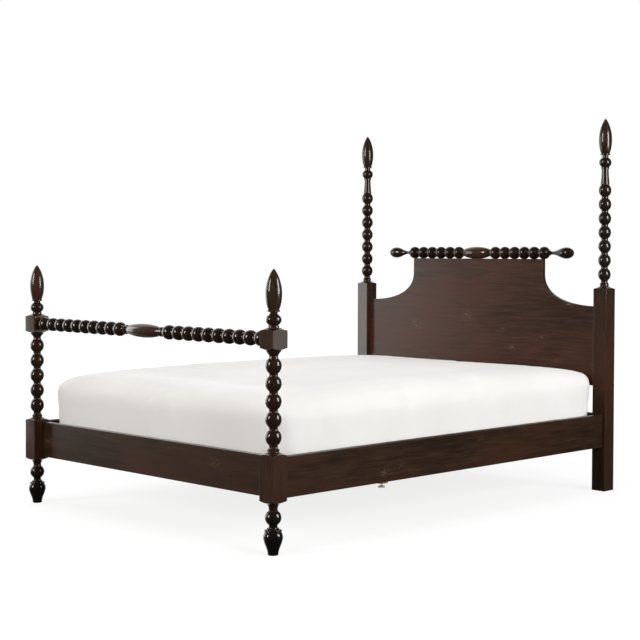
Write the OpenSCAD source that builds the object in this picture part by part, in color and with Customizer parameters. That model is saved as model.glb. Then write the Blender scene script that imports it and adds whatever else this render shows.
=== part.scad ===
// Four-poster bed with spool-turned posts, a shaped headboard panel under a
// turned roll, and a turned spindle rail across the foot.
// X runs across the bed (+X to the right, seen from the foot), +Y runs from
// foot to head and +Z up. The origin is on the floor, under the bed's centre.

/* [Mattress] */
// Width of the mattress (queen size)
mattress_w = 1524; // [1372:1:1600]
// Length of the mattress
mattress_l = 2032; // [1905:1:2134]
// Thickness of the mattress
mattress_t = 264; // [200:1:280]
// Height of the slats' top, where the mattress lies
deck_z = 306; // [300:1:312]

/* [Posts] */
// Side of the square blocks on every post
post_side = 75; // [72:1:84]
// Side clearance from the mattress to the posts' axes
side_room = 43; // [40:1:60]
// End clearance from the mattress to the posts' axes, both ends together
end_room = 68; // [64:1:90]
// Largest diameter of the turned balls
ball_d = 61; // [56:1:64]
// Diameter of the necks between the balls
neck_d = 33; // [28:1:36]
// Balls on each foot post
foot_balls = 5; // [3:1:7]
// Balls on each head post
head_balls = 7; // [5:1:9]

/* [Rails] */
// Height of the rails' lower edge above the floor
rail_z = 211; // [205:1:215]
// Height of the rails themselves
rail_h = 156; // [150:1:162]
// Thickness of the side rails
side_rail_t = 32; // [28:1:34]
// Thickness of the foot and head rails
cross_rail_t = 28; // [24:1:30]

/* [Headboard] */
// Thickness of the headboard panel
panel_t = 18; // [16:1:20]
// Half width of the panel's raised middle
panel_crown = 440; // [400:1:450]
// Height of the panel's top edge
panel_top = 1110; // [1100:1:1120]
// Height of the panel where it meets the posts
panel_shoulder = 883; // [850:1:900]
// Diameter of the beads on the roll
roll_d = 64; // [60:1:66]
// Beads on each side of the roll's middle
roll_beads = 6; // [4:1:6]

/* [Footboard] */
// Diameter of the beads on the spindle rail
spindle_d = 60; // [54:1:62]
// Beads on each side of the spindle rail's middle
spindle_beads = 10; // [8:1:12]

/* [Base] */
// Width of each slat
slat_w = 90; // [70:1:110]
// Thickness of each slat
slat_t = 18; // [16:1:22]
// Distance of each centre leg from the middle of the bed
centre_leg_y = 350; // [300:10:500]

/* [Hidden] */
$fn = 64;

// Colours
espresso = "#2e2019";
walnut = "#4a3124";
pale_wood = "#cdb28a";
zinc = "#b9bcbf";
ticking = "#f2f2f0";

// Plan
post_x = mattress_w / 2 + side_room;
post_y = (mattress_l + end_room) / 2;
half_side = post_side / 2;
corner_reach = half_side * sqrt(2);
inner_x = post_x - half_side;
rail_top = rail_z + rail_h;
edge_r = 2.5;
side_set = 14; // side rail's outer face, in from the posts' outer face
rail_gap = 1; // side rail's end to the post's face
foot_rail_set = 5; // foot rail's outer face, in from the posts' axes
head_rail_set = -9; // head rail's inner face, from the posts' axes

// Foot post heights, floor to top
turnip_belly = 68;
turnip_top = 87;
leg_ring_top = 101;
leg_ball_bottom = 115;
leg_ball_top = 165;
block_overlap = 7; // the lower block stands proud of the rail, above and below
lower_block_z = rail_z - block_overlap;
lower_block_top = rail_top + block_overlap;
foot_ring_h = 33;
foot_bead_z = lower_block_top + foot_ring_h;
foot_pitch = 67.3;
upper_block_z = foot_bead_z + foot_balls * foot_pitch + foot_ring_h;
upper_block_h = 64;
foot_crown_z = upper_block_z + upper_block_h;

// Head post heights
seam_z = 488;
head_square_top = 968;
head_ring_h = 36;
head_bead_z = head_square_top + head_ring_h;
head_pitch = 67.2;
neck_half = 6.6; // half the height of the hollow at each neck
column_z = head_bead_z + head_balls * head_pitch - neck_half;
column_h = 81;

// Turned details
turnip_d = 75;
turnip_foot_d = 41;
turnip_bead_d = 67;
turnip_bead_z = 91;
ball_end_d = 37; // where each ball meets its neck
ring_d = 46;
pommel_d = 56; // where a block's turned shoulder meets the round part
pommel_h = 9; // how far a turned shoulder runs on past the block's corners
disc_d = 60; // thin disc that ends the round part beside every square block
column_d = 42;
column_waist_d = 33.6;
crown_ball_d = 59;
crown_neck_d = 30;
crown_h = 70; // square block's top to the finial's collar
column_crown_h = 60; // column's top to the finial's collar
finial_d = 63;
finial_collar_d = 46.8;
finial_collar_h = 8;
finial_peg_d = 16;
finial_peg_h = 30;
foot_finial_h = 152;
head_finial_h = 166;
foot_neck_top = foot_crown_z + crown_h;
head_neck_top = column_z + column_h + column_crown_h;

// Spindle rail and roll
spindle_z = upper_block_z + upper_block_h / 2;
spindle_middle = 137.5; // half length of the long swelling in the middle
spindle_middle_d = 58;
spindle_pitch = (inner_x - spindle_middle) / spindle_beads;
bead_neck_d = 28;
roll_seat = 2; // depth of the flat under the roll
roll_z = panel_top + roll_d / 2 - roll_seat;
roll_middle = 92.4; // half length of the long swelling in the middle
roll_middle_d = 63;
roll_pitch = 63.2;
roll_neck = roll_middle + roll_beads * roll_pitch;
roll_peg_pitch = roll_beads * roll_pitch / 2;
teardrop_belly = roll_neck + 105;
teardrop_end = teardrop_belly + 43;
teardrop_d = 57;
teardrop_neck_d = 16;

// Headboard panel
panel_bottom = seam_z + 12;
scoop_drop = 157; // height of each shoulder's scoop
scoop_past = 18; // the scoop's curve would end this far inside the post
scoop_power = 2.4; // 2 is a plain ellipse; more is squarer

// Base
deck_bottom = deck_z - slat_t;
ledger_w = 25;
ledger_h = 40;
rail_outer_x = post_x + half_side - side_set;
rail_inner_x = rail_outer_x - side_rail_t;
rail_half_l = post_y - half_side - rail_gap;
foot_rail_y = -post_y + foot_rail_set;
head_rail_y = post_y + head_rail_set;
beam_w = 45;
beam_h = 50;
beam_z = deck_bottom - beam_h;
beam_foot_y = foot_rail_y + cross_rail_t;
beam_head_y = head_rail_y;
beam_gap = 1; // beam's end to the bracket's back plate
mattress_corner_r = 36;
mattress_to_panel = 7;
mattress_y = post_y - panel_t / 2 - mattress_to_panel - mattress_l / 2;
slat_count = 12;
slat_margin = 25; // mattress's end to the nearest slat
slat_span = mattress_l - 2 * slat_margin - slat_w;
slat_gap = 1.5; // slat's end to the side rail
ledger_gap = 10; // ledger's end to the post
leg_bottom_z = 20;

// Fixings
tenon_l = 30;
tenon_t = 14;
tenon_inset = 28; // rail's edge to its tenon's edge
spindle_peg_d = 25;
groove_t = 8;
groove_d = 12;
tongue_inset = 10; // panel's bottom to its tongues' bottom
tongue_short = 16; // shoulder to its tongues' top
stud_d = 10;
stud_l = 100;
dowel_l = 60;
dowel_offset = 20; // dowels' axes from the post's axis, in X and in Y
peg_d = 8;
peg_l = 45;
peg_depth = 30; // how far the roll's dowels reach into the panel
plate_t = 2.5;
plate_w = 18;
plate_h = 126;
plate_screw_zs = [-57, 0, 57];
plate_screw_l = 28;
hook_t = 3;
hook_h = 22;
hook_drop = 8;
hook_reach = 11;
hook_play = 0.4; // between the hook and the plate it drops behind
hook_zs = [-44, 16];
screw_d = 4.2;
screw_head_d = 8.4;
screw_head_h = 2.4;
recess_l = 4;
recess_w = 0.8;
recess_depth = 1;
ledger_screw_l = 45;
ledger_screw_pitch = 290;
ledger_screw_z = deck_bottom - ledger_h + 12;
slat_screw_l = 40;
bracket_screw_l = 22;
bracket_screw_xs = [-36, 36];
bracket_screw_zs = [10, 40];
bracket_w = 92;
bracket_shelf = 40;
bracket_cheek_h = 32;
plate_mid_x = (rail_outer_x + rail_inner_x) / 2;
plate_mid_z = rail_z + rail_h / 2;
rail_corner_r = 9;

// Centre legs and levelling feet
leg_stud_d = 8;
leg_stud_l = 50;
insert_d = 11;
insert_l = 13;
insert_flange_d = 22;
insert_flange_t = 1.5;
stem_d = 8;
stem_play = 0.1;
stem_top = 58;
stem_room = 61; // depth of the hole above the stem's insert
foot_disc_d = 34;
foot_disc_top_d = 22;
foot_disc_edge = 5;
foot_disc_h = 8;

// ---- Outlines: points are [radius, height] ----

// A swelling: widest in the middle, with the same end diameter above and below
function bulge(mid_z, mid_d, end_d, half_h, steps = 14) =
    let (end_t = acos(end_d / mid_d), reach = half_h / sin(end_t))
    [for (i = [-steps : steps]) let (t = end_t * i / steps)
        [mid_d / 2 * cos(t), mid_z + reach * sin(t)]];

// The upper half of a swelling that is widest at height 0
function half_bulge(mid_d, end_d, half_h, steps = 14) =
    let (end_t = acos(end_d / mid_d))
    [for (i = [0 : steps]) let (t = end_t * i / steps)
        [mid_d / 2 * cos(t), half_h * sin(t) / sin(end_t)]];

// A hollow: narrowest in the middle, square to the axis at its edges
function hollow(mid_z, mid_d, edge_d, half_h, steps = 5) =
    [for (i = [-steps : steps]) let (t = 90 * i / steps)
        [edge_d / 2 - (edge_d - mid_d) / 2 * cos(t), mid_z + half_h * sin(t)]];

// Half a hollow, from a thin end at z0 to a wide end at z1; a sweep of 90 degrees
// ends square to the axis, and less ends more like a cone
function flare(z0, z1, thin_d, wide_d, sweep = 90, steps = 8) =
    [for (i = [0 : steps]) let (t = sweep * i / steps, s = (1 - cos(t)) / (1 - cos(sweep)))
        [thin_d / 2 + (wide_d - thin_d) / 2 * s, z0 + (z1 - z0) * sin(t) / sin(sweep)]];

// An S-curve from one diameter at z0 to another at z1
function ogee(z0, z1, d0, d1, steps = 14) =
    [for (i = [0 : steps]) let (s = (1 - cos(180 * i / steps)) / 2)
        [d0 / 2 + (d1 - d0) / 2 * s, z0 + (z1 - z0) * i / steps]];

function reversed(points) = [for (i = [len(points) - 1 : -1 : 0]) points[i]];

// A row of balls with a neck below each ball and above the last one
function ball_row(z, count, pitch) = [for (i = [0 : count - 1]) each concat(
    hollow(z + i * pitch, neck_d, ball_end_d, neck_half),
    bulge(z + (i + 0.5) * pitch, ball_d, ball_end_d, pitch / 2 - neck_half))];

// One half of a row of beads, from z outward
function bead_row(z, count, pitch, bead_d, neck) = [for (i = [0 : count - 1]) each concat(
    hollow(z + i * pitch, neck, neck + 8, neck_half),
    bulge(z + (i + 0.5) * pitch, bead_d, neck + 8, pitch / 2 - neck_half))];

// Turnip foot, bead, ring, ball and the flare under the lower block
function foot_leg_outline(steps = 8) =
    let (crest = 36, bead_h = 4, ball_half = (leg_ball_top - leg_ball_bottom) / 2)
    concat(
    [[0, 0], [turnip_foot_d / 2 - 2, 0]],
    ogee(2, turnip_belly, turnip_foot_d, turnip_d),
    [for (i = [1 : steps]) let (t = crest * i / steps)
        [turnip_d / 2 * cos(t), turnip_belly + (turnip_top - turnip_belly) * sin(t) / sin(crest)]],
    bulge(turnip_bead_z, turnip_bead_d, turnip_bead_d - 5, bead_h - 0.5, 3),
    [[ring_d / 2, turnip_bead_z + bead_h + 1], [ring_d / 2, leg_ring_top]],
    hollow((leg_ring_top + leg_ball_bottom) / 2, neck_d, ball_end_d, (leg_ball_bottom - leg_ring_top) / 2),
    bulge((leg_ball_bottom + leg_ball_top) / 2, ball_d + 2, ball_end_d, ball_half),
    flare(lower_block_z - 31, lower_block_z - pommel_h + 1, neck_d + 1, disc_d, 62),
    [[disc_d / 2, lower_block_z + 1], [0, lower_block_z + 1]]);

// Disc on a block's turned shoulder, and the cove above it; z is the block's top
function base_disc(z, cove_top_d, cove_h = 6) = concat(
    [[0, z - 1], [disc_d / 2 - 0.5, z - 1], [disc_d / 2, z + pommel_h - 1]],
    reversed(flare(z + pommel_h + 1 + cove_h, z + pommel_h + 1, cove_top_d, disc_d)));

// Disc, ring, row of balls and the bell under the upper block
function foot_shaft_outline() = concat(
    base_disc(lower_block_top, ring_d - 3),
    [[ring_d / 2, lower_block_top + 17], [ring_d / 2, lower_block_top + 21]],
    ball_row(foot_bead_z, foot_balls, foot_pitch),
    ogee(upper_block_z - 32, upper_block_z - pommel_h + 1, neck_d, disc_d - 2),
    [[disc_d / 2 - 1, upper_block_z + 1], [0, upper_block_z + 1]]);

// Ring, flattened ball and neck that carry a finial; z is the square block's top
function crown_outline(z) = concat(
    base_disc(z, ring_d - 4, 3),
    [[ring_d / 2 - 2.5, z + 18]],
    bulge(z + 40.5, crown_ball_d, neck_d + 1, 20.5),
    [[crown_neck_d / 2, z + 63], [crown_neck_d / 2, z + crown_h], [0, z + crown_h]]);

// Rings, balls, slender column and flattened ball of a head post
function head_shaft_outline() = concat(
    base_disc(head_square_top, ring_d - 4),
    [[ring_d / 2 - 1, head_square_top + 18], [ring_d / 2 - 1, head_square_top + 23]],
    ball_row(head_bead_z, head_balls, head_pitch),
    [[ring_d / 2 - 1, column_z + 1], [ring_d / 2 - 1, column_z + 5]],
    [for (i = [0 : 10]) let (s = i / 10)
        [column_d / 2 - (column_d - column_waist_d) / 2 * sin(90 * s), column_z + 6 + (column_h - 12) * s]],
    [[column_d / 2 - 1, column_z + column_h - 5], [column_d / 2 - 1, column_z + column_h]],
    bulge(column_z + column_h + 25, crown_ball_d, neck_d + 5, 21),
    [[crown_neck_d / 2, column_z + column_h + 48], [crown_neck_d / 2, head_neck_top], [0, head_neck_top]]);

// Collar and pointed body of a finial, standing on z = 0
function finial_outline(body_h, low_steps = 8, high_steps = 16) =
    let (low_h = body_h * 0.38, high_h = body_h - low_h, base = finial_collar_h + 2, spread = 47)
    concat(
        [[0, 0], [finial_collar_d / 2 - 1.4, 0], [finial_collar_d / 2, 2],
            [finial_collar_d / 2, finial_collar_h - 2], [finial_collar_d / 2 - 1.4, finial_collar_h],
            [finial_collar_d / 2 - 3, base]],
        [for (i = [0 : low_steps]) let (t = spread * (1 - i / low_steps))
            [finial_d / 2 * cos(t), base + low_h - low_h * sin(t) / sin(spread)]],
        [for (i = [1 : high_steps - 1]) let (u = i / high_steps)
            [finial_d / 2 * pow(1 - u * u, 0.82), base + low_h + high_h * u]],
        [[0, base + body_h]]);

// Half of the foot spindle rail's outline, from its middle to a post
function spindle_half() = concat(
    half_bulge(spindle_middle_d, bead_neck_d, spindle_middle - 22),
    [[20, spindle_middle - 20], [20, spindle_middle - 13]],
    bead_row(spindle_middle, spindle_beads, spindle_pitch, spindle_d, bead_neck_d),
    [[16, inner_x]]);

// Half of the headboard roll's outline, from its middle to a teardrop's tip
function roll_half(tip_steps = 12) = concat(
    half_bulge(roll_middle_d, bead_neck_d + 6, roll_middle - neck_half),
    bead_row(roll_middle, roll_beads, roll_pitch, roll_d, bead_neck_d),
    ogee(roll_neck - 5, roll_neck + 18, bead_neck_d + 2, teardrop_neck_d, 6),
    ogee(roll_neck + 20, teardrop_belly, teardrop_neck_d, teardrop_d),
    [for (i = [1 : tip_steps]) let (t = 90 * i / tip_steps)
        [teardrop_d / 2 * cos(t), teardrop_belly + (teardrop_end - teardrop_belly) * sin(t)]]);

// ---- Basic solids ----

module turned(outline) {
    rotate_extrude($fn = 64) polygon(outline);
}

// A turned bar along X from one half's outline, mirrored about its middle
module turned_bar(half, end_cap) {
    flipped = [for (point = reversed(half)) [point[0], -point[1]]];
    rotate([0, 90, 0])
        turned(concat([[0, -end_cap]], flipped, half, [[0, end_cap]]));
}

module rounded_rect(w, h, r) {
    translate([-w / 2 + r, -h / 2]) square([w - 2 * r, h]);
    translate([-w / 2, -h / 2 + r]) square([w, h - 2 * r]);
    for (x = [-1, 1], y = [-1, 1])
        translate([x * (w / 2 - r), y * (h / 2 - r)]) circle(r, $fn = 32);
}

// Square timber standing on z, with eased corners
module upright(side, z, h) {
    translate([0, 0, z]) linear_extrude(h) rounded_rect(side, side, edge_r);
}

// Square block of a post with turned ends: its corners stop at z0 and z1, and
// sloping shoulders carry on to the round parts
module post_block(z0, z1) {
    shouldered(z0, z1) upright(post_side, z0 - pommel_h, z1 - z0 + 2 * pommel_h);
}

// Turns the ends of a square timber down to sloping shoulders
module shouldered(z0, z1) {
    intersection() {
        children();
        turned(shoulder_outline(z0, z1));
    }
}

function shoulder_outline(z0, z1) = [
    [0, z0 - pommel_h], [pommel_d / 2, z0 - pommel_h], [corner_reach, z0],
    [corner_reach, z1], [pommel_d / 2, z1 + pommel_h], [0, z1 + pommel_h]];

// Horizontal timber along X, centred on its own axis
module bar_x(l, t, h) {
    rotate([90, 0, 90]) translate([0, 0, -l / 2]) linear_extrude(l) rounded_rect(t, h, edge_r);
}

// Horizontal timber along Y, centred on its own axis
module bar_y(l, t, h) {
    rotate([90, 0, 0]) translate([0, 0, -l / 2]) linear_extrude(l) rounded_rect(t, h, edge_r);
}

// Countersunk wood screw: its head's top lies on z = 0 and it points down
module screw(l) {
    translate([0, 0, -screw_head_h])
        cylinder(d1 = screw_d, d2 = screw_head_d, h = screw_head_h, $fn = 32);
    translate([0, 0, -l]) cylinder(d = screw_d, h = l - screw_head_h, $fn = 32);
}

module cross_recess() {
    for (a = [0, 90]) rotate([0, 0, a])
        translate([-recess_l / 2, -recess_w / 2, -recess_depth])
            cube([recess_l, recess_w, 2 * recess_depth]);
}

module driven_screw(l) {
    difference() {
        screw(l);
        cross_recess();
    }
}

// ---- Joints shared by two pieces, in the bed's frame, for the right-hand side ----

// Places its children at the meeting of the right side rail and a post:
// x across the rail, y pointing from the rail's end into the post, z up
module rail_end(end) {
    translate([plate_mid_x, end * rail_half_l, plate_mid_z])
        rotate([0, 0, end > 0 ? 0 : 180]) children();
}

// Plate let into a rail's end, with two hooks that reach into the post
module hook_plate() {
    difference() {
        translate([-plate_w / 2, -plate_t, -plate_h / 2]) cube([plate_w, plate_t, plate_h]);
        for (z = plate_screw_zs) translate([0, 0, z]) rotate([-90, 0, 0]) screw(plate_screw_l);
    }
    for (z = hook_zs)
        translate([-hook_t / 2, 0, z]) rotate([90, 0, 90]) linear_extrude(hook_t) hook_outline();
}

// Side view of one hook: [distance from the rail's end, height]
module hook_outline() {
    inside = rail_gap + plate_t + hook_play;
    polygon([[-plate_t / 2, 0], [-plate_t / 2, hook_h], [hook_reach, hook_h],
        [hook_reach, -hook_drop], [inside, -hook_drop], [inside, 0]]);
}

// Recess in a rail's end for its hook plate and screws
module hook_plate_seat() {
    translate([-plate_w / 2, -plate_t, -plate_h / 2]) cube([plate_w, plate_t + 1, plate_h]);
    for (z = plate_screw_zs) translate([0, 0, z]) rotate([-90, 0, 0]) screw(plate_screw_l);
}

// Slotted plate let into a post's face; the hooks drop behind it
module slot_plate() {
    translate([0, rail_gap, 0]) difference() {
        translate([-plate_w / 2, 0, -plate_h / 2]) cube([plate_w, plate_t, plate_h]);
        for (z = hook_zs)
            translate([-hook_t / 2 - 1, -1, z]) cube([hook_t + 2, plate_t + 2, hook_h + hook_drop + 1]);
        for (z = plate_screw_zs) translate([0, 0, z]) rotate([90, 0, 0]) screw(plate_screw_l);
    }
}

// Recess in a post's face for the slotted plate, its screws and the hooks behind it
module slot_plate_seat() {
    translate([0, rail_gap, 0]) {
        translate([-plate_w / 2, -1, -plate_h / 2]) cube([plate_w, plate_t + 1, plate_h]);
        for (z = hook_zs)
            translate([-hook_t / 2 - 1, 0, z - hook_drop - 1])
                cube([hook_t + 2, hook_reach + 1, hook_h + 2 * hook_drop + 2]);
        for (z = plate_screw_zs) translate([0, 0, z]) rotate([90, 0, 0]) screw(plate_screw_l);
    }
}

// Rail tenon, reaching tenon_l beyond the post's inner face at x = inner_x
module rail_tenon(mid_y) {
    translate([inner_x - 1, mid_y - tenon_t / 2, rail_z + tenon_inset])
        cube([tenon_l + 1, tenon_t, rail_h - 2 * tenon_inset]);
}

// Panel tongue, reaching groove_d beyond the post's inner face
module panel_tongue() {
    tongue_z = panel_bottom + tongue_inset;
    translate([inner_x - 1, post_y - groove_t / 2, tongue_z])
        cube([groove_d + 1, groove_t, panel_shoulder - tongue_short - tongue_z]);
}

// Stud and two dowels that join a head leg to the post above its seam
module seam_stud() {
    translate([post_x, post_y, seam_z - stud_l / 2]) cylinder(d = stud_d, h = stud_l);
}

module seam_dowels() {
    for (s = [-dowel_offset, dowel_offset])
        translate([post_x + s, post_y - s, seam_z - dowel_l / 2])
            cylinder(d = stud_d, h = dowel_l, $fn = 32);
}

// Dowels that hold the roll down on the panel
module roll_pegs() {
    for (i = [-2 : 2])
        translate([i * roll_peg_pitch, post_y, panel_top - peg_depth])
            cylinder(d = peg_d, h = peg_l, $fn = 32);
}

// ---- Footboard ----

module foot_post() {
    color(espresso) difference() {
        translate([post_x, -post_y, 0]) {
            turned(foot_leg_outline());
            post_block(lower_block_z, lower_block_top);
            turned(foot_shaft_outline());
            post_block(upper_block_z, foot_crown_z);
            turned(crown_outline(foot_crown_z));
        }
        rail_tenon(foot_rail_y + cross_rail_t / 2);
        rail_end(-1) slot_plate_seat();
        translate([inner_x - 1, -post_y, spindle_z])
            rotate([0, 90, 0]) cylinder(d = spindle_peg_d, h = tenon_l + 1);
        translate([post_x, -post_y, foot_neck_top - finial_peg_h])
            cylinder(d = finial_peg_d, h = finial_peg_h + 1);
    }
}

module foot_rail() {
    mid_y = foot_rail_y + cross_rail_t / 2;
    color(espresso) {
        translate([0, mid_y, rail_z + rail_h / 2]) bar_x(2 * inner_x, cross_rail_t, rail_h);
        rail_tenon(mid_y);
        left_side() rail_tenon(mid_y);
    }
}

module foot_spindle_rail() {
    color(espresso) translate([0, -post_y, spindle_z]) {
        turned_bar(spindle_half(), inner_x);
        translate([-inner_x - tenon_l, 0, 0])
            rotate([0, 90, 0]) cylinder(d = spindle_peg_d, h = 2 * (inner_x + tenon_l));
    }
}

// ---- Headboard ----

module head_leg() {
    color(espresso) difference() {
        translate([post_x, post_y, 0]) upright(post_side, 0, seam_z);
        rail_tenon(head_rail_y + cross_rail_t / 2);
        rail_end(1) slot_plate_seat();
        seam_stud();
        seam_dowels();
    }
}

module head_post() {
    color(espresso) difference() {
        translate([post_x, post_y, 0]) {
            shouldered(0, head_square_top)
                upright(post_side, seam_z, head_square_top - seam_z + pommel_h);
            turned(head_shaft_outline());
        }
        panel_tongue();
        seam_stud();
        seam_dowels();
        translate([post_x, post_y, head_neck_top - finial_peg_h])
            cylinder(d = finial_peg_d, h = finial_peg_h + 1);
    }
}

module head_rail() {
    mid_y = head_rail_y + cross_rail_t / 2;
    color(espresso) {
        translate([0, mid_y, rail_z + rail_h / 2]) bar_x(2 * inner_x, cross_rail_t, rail_h);
        rail_tenon(mid_y);
        left_side() rail_tenon(mid_y);
    }
}

// Height of the scooped shoulder at distance x from the panel's middle: part
// of a squarish quarter round whose lowest point lies inside the post
function scoop_z(x) =
    let (end_x = inner_x + scoop_past, run = end_x - panel_crown, across = (end_x - x) / run)
    panel_shoulder + scoop_drop * (1 - pow(1 - pow(across, scoop_power), 1 / scoop_power));

function shoulder_points(steps = 40) =
    let (run = inner_x - panel_crown)
    [for (i = [0 : steps]) let (x = panel_crown + run * (1 - cos(90 * i / steps))) [x, scoop_z(x)]];

module panel_outline() {
    right = concat([[panel_crown, panel_top]], shoulder_points(), [[inner_x, panel_bottom]]);
    left = [for (point = reversed(right)) [-point[0], point[1]]];
    polygon(concat(right, left));
}

module headboard_panel() {
    color(walnut) difference() {
        union() {
            translate([0, post_y + panel_t / 2, 0]) rotate([90, 0, 0])
                linear_extrude(panel_t) panel_outline();
            panel_tongue();
            left_side() panel_tongue();
        }
        roll_pegs();
    }
}

// The roll is planed flat underneath, where it sits on the panel
module headboard_roll() {
    color(espresso) difference() {
        translate([0, post_y, roll_z]) turned_bar(roll_half(), teardrop_end);
        translate([-roll_neck, post_y - roll_d / 2, panel_top - roll_d])
            cube([2 * roll_neck, roll_d, roll_d]);
        roll_pegs();
    }
}

// ---- Finials ----

module finial(body_h) {
    color(walnut) {
        turned(finial_outline(body_h));
        translate([0, 0, -finial_peg_h]) cylinder(d = finial_peg_d, h = finial_peg_h + 1);
    }
}

module foot_finial() {
    translate([post_x, -post_y, foot_neck_top]) finial(foot_finial_h);
}

module head_finial() {
    translate([post_x, post_y, head_neck_top]) finial(head_finial_h);
}

// ---- Side rails ----

module side_rail() {
    color(espresso) difference() {
        translate([plate_mid_x, 0, plate_mid_z]) bar_y(2 * rail_half_l, side_rail_t, rail_h);
        for (end = [-1, 1]) {
            rail_end(end) hook_plate_seat();
            rail_corner_waste(end);
        }
        ledger_screw_set();
    }
}

// What is cut away to round a side rail's lower corner
module rail_corner_waste(end) {
    r = rail_corner_r;
    translate([rail_inner_x - 1, end * (rail_half_l - r), rail_z + r])
        rotate([0, 90, 0]) difference() {
            translate([0, end > 0 ? 0 : -r - 1, 0]) cube([r + 1, r + 1, side_rail_t + 2]);
            cylinder(r = r, h = side_rail_t + 2);
        }
}

// Screws through the right ledger into the right rail
module ledger_screw_places() {
    for (i = [-3 : 3])
        translate([rail_inner_x - ledger_w, i * ledger_screw_pitch, ledger_screw_z])
            rotate([0, -90, 0]) children();
}

module ledger_screw_set() {
    ledger_screw_places() screw(ledger_screw_l);
}

module side_ledger() {
    half_l = post_y - half_side - ledger_gap;
    color(pale_wood) difference() {
        translate([rail_inner_x - ledger_w, -half_l, deck_bottom - ledger_h])
            cube([ledger_w, 2 * half_l, ledger_h]);
        ledger_screw_set();
        slat_screw_set();
    }
}

module ledger_screws() {
    color(zinc) both_sides() ledger_screw_places() driven_screw(ledger_screw_l);
}

module plate_screw_places() {
    for (end = [-1, 1], z = plate_screw_zs) rail_end(end) translate([0, 0, z]) {
        rotate([-90, 0, 0]) children();
        translate([0, rail_gap, 0]) rotate([90, 0, 0]) children();
    }
}

module plate_screws() {
    color(zinc) both_sides() plate_screw_places() driven_screw(plate_screw_l);
}

// ---- Slats and centre support ----

function slat_y(i) = mattress_y - slat_span / 2 + slat_span * (i - 1) / (slat_count - 1);

module slat_screw_at(i) {
    translate([rail_inner_x - ledger_w / 2, slat_y(i), deck_z]) children();
}

module slat_screw_set() {
    for (i = [1 : slat_count]) slat_screw_at(i) screw(slat_screw_l);
}

module slat(i) {
    color(pale_wood) difference() {
        translate([0, slat_y(i), deck_bottom + slat_t / 2])
            bar_x(2 * (rail_inner_x - slat_gap), slat_w, slat_t);
        both_sides() slat_screw_at(i) screw(slat_screw_l);
    }
}

module slat_screws() {
    color(zinc) for (i = [1 : slat_count])
        both_sides() slat_screw_at(i) driven_screw(slat_screw_l);
}

module centre_beam() {
    color(pale_wood) difference() {
        translate([0, (beam_foot_y + beam_head_y) / 2, beam_z + beam_h / 2])
            bar_y(beam_head_y - beam_foot_y - 2 * (plate_t + beam_gap), beam_w, beam_h);
        centre_leg_stud_set();
    }
}

// Places its children at a cross rail's inner face: y points into the bed
module beam_end(end) {
    translate([0, end > 0 ? beam_head_y : beam_foot_y, beam_z])
        rotate([0, 0, end > 0 ? 180 : 0]) children();
}

module bracket_screw_places() {
    for (x = bracket_screw_xs, z = bracket_screw_zs)
        translate([x, plate_t, z]) rotate([-90, 0, 0]) children();
}

module bracket_screw_set() {
    for (end = [-1, 1]) beam_end(end) bracket_screw_places() screw(bracket_screw_l);
}

// Saddle bracket: back plate on the rail, with a shelf and two cheeks round the beam
module beam_bracket() {
    color(zinc) difference() {
        union() {
            translate([-bracket_w / 2, 0, -plate_t]) cube([bracket_w, plate_t, beam_h + plate_t]);
            translate([-beam_w / 2 - plate_t, 0, -plate_t])
                cube([beam_w + 2 * plate_t, bracket_shelf, plate_t]);
            for (s = [-1, 1])
                translate([s * (beam_w + plate_t) / 2 - plate_t / 2, 0, -plate_t])
                    cube([plate_t, bracket_shelf, bracket_cheek_h]);
        }
        bracket_screw_places() screw(bracket_screw_l);
    }
}

module bracket_screws() {
    color(zinc) for (end = [-1, 1])
        beam_end(end) bracket_screw_places() driven_screw(bracket_screw_l);
}

// Cross rails with the brackets' screw holes
module foot_rail_drilled() {
    difference() {
        foot_rail();
        bracket_screw_set();
    }
}

module head_rail_drilled() {
    difference() {
        head_rail();
        bracket_screw_set();
    }
}

module centre_leg_stud_set() {
    for (y = [-centre_leg_y, centre_leg_y])
        translate([0, y, beam_z - leg_stud_l / 2]) cylinder(d = leg_stud_d, h = leg_stud_l);
}

module centre_leg(y) {
    color(pale_wood) difference() {
        translate([0, y, 0]) upright(beam_w, leg_bottom_z, beam_z - leg_bottom_z);
        centre_leg_stud_set();
        translate([0, y, leg_bottom_z - 1]) cylinder(d = insert_d, h = stem_room + 1);
    }
}

// Threaded insert in a centre leg's lower end
module leg_insert(y) {
    translate([0, y, leg_bottom_z]) difference() {
        union() {
            translate([0, 0, -insert_flange_t]) cylinder(d = insert_flange_d, h = insert_flange_t);
            cylinder(d = insert_d, h = insert_l);
        }
        translate([0, 0, -insert_l]) cylinder(d = stem_d + stem_play, h = 3 * insert_l);
    }
}

module leg_inserts() {
    color(zinc) for (y = [-centre_leg_y, centre_leg_y]) leg_insert(y);
}

module levelling_foot(y) {
    color(ticking) translate([0, y, 0]) {
        cylinder(d = foot_disc_d, h = foot_disc_edge);
        translate([0, 0, foot_disc_edge])
            cylinder(d1 = foot_disc_d, d2 = foot_disc_top_d, h = foot_disc_h - foot_disc_edge);
        cylinder(d = stem_d, h = stem_top);
    }
}

// ---- Mattress ----

module mattress() {
    color(ticking) translate([0, mattress_y, deck_z])
        linear_extrude(mattress_t) rounded_rect(mattress_w, mattress_l, mattress_corner_r);
}

// ---- Left and right ----

module left_side() {
    mirror([1, 0, 0]) children();
}

module both_sides() {
    children();
    left_side() children();
}

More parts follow.
